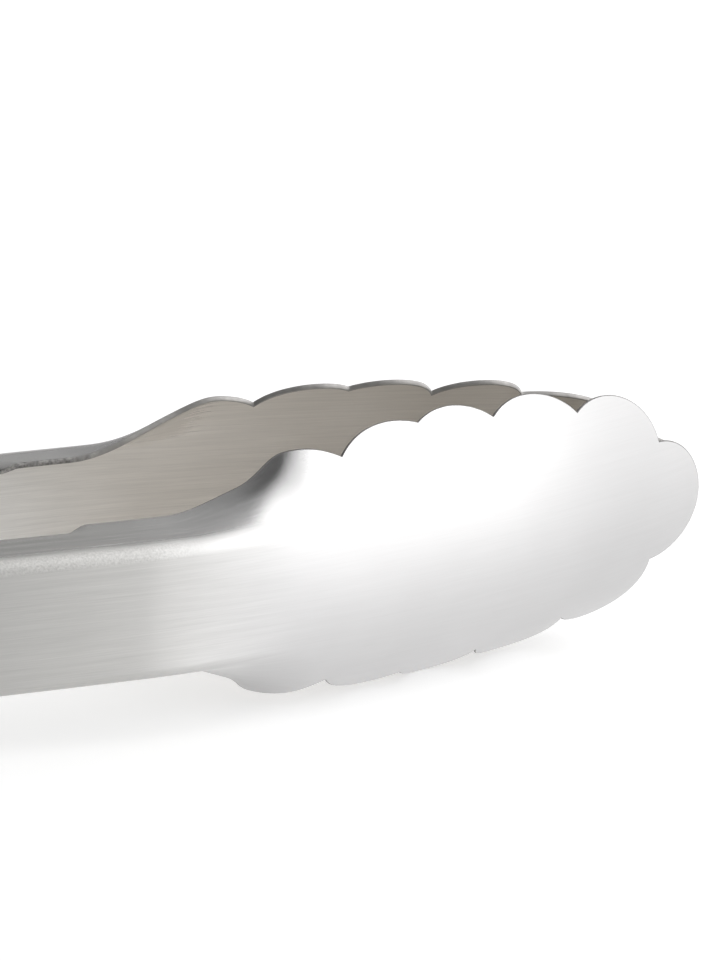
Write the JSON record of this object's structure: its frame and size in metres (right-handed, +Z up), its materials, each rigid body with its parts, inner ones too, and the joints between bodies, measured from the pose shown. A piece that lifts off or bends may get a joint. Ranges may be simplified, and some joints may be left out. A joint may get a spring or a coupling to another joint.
{
  "type": "spring loaded kitchen tongs",
  "caption": "Stainless steel kitchen tongs: two bowed channel arms with scalloped, dished heads on one rivet, sprung apart, with a pull tab that slides to lock them shut and to hang them by",
  "frame": {"origin": "centre of the bounding box at its lowest point, with the closed tongs on their side", "axes": "+X from the pull tab to the tips, Y across the two arms, +Z up along the rivet"},
  "size_m": [0.3128, 0.0454, 0.0395],
  "materials": {
    "near_arm": "brushed lengthwise",
    "far_arm": "brushed lengthwise",
    "rivet": "bright turned steel",
    "bush": "bright turned steel",
    "spring": "drawn spring wire",
    "strap": "brushed sheet",
    "bar": "bright drawn rod"
  },
  "bodies": {
    "near_arm": {"near_arm": "near_arm"},
    "far_arm": {"far_arm": "far_arm"},
    "pivot": {"hinge_rivet": "rivet", "rivet_washer": "rivet", "spring_bush": "bush", "torsion_spring": "spring"},
    "lock": {"lock_strap": "strap", "lock_bar": "bar"}
  },
  "joints": [
    {"name": "arm_hinge", "type": "hinge", "parent": "near_arm", "child": "far_arm", "pos_m": [-0.11742, 0, 0.01976], "axis": [0, 0, 1], "range_deg": [0, 28], "stiffness_Nm_per_rad": 0.35, "springref_deg": 51.57, "deforming": ["torsion_spring"]},
    {"name": "pivot_turn", "type": "hinge", "parent": "near_arm", "child": "pivot", "pos_m": [-0.11742, 0, 0.01976], "axis": [0, 0, 1], "range_deg": [0, 14]},
    {"name": "lock_slide", "type": "slide", "parent": "pivot", "child": "lock", "axis": [-1, 0, 0], "range_m": [0, 0.007]}
  ],
  "couplings": [
    {"joint": "pivot_turn", "follows": "arm_hinge", "ratio": 0.5}
  ]
}
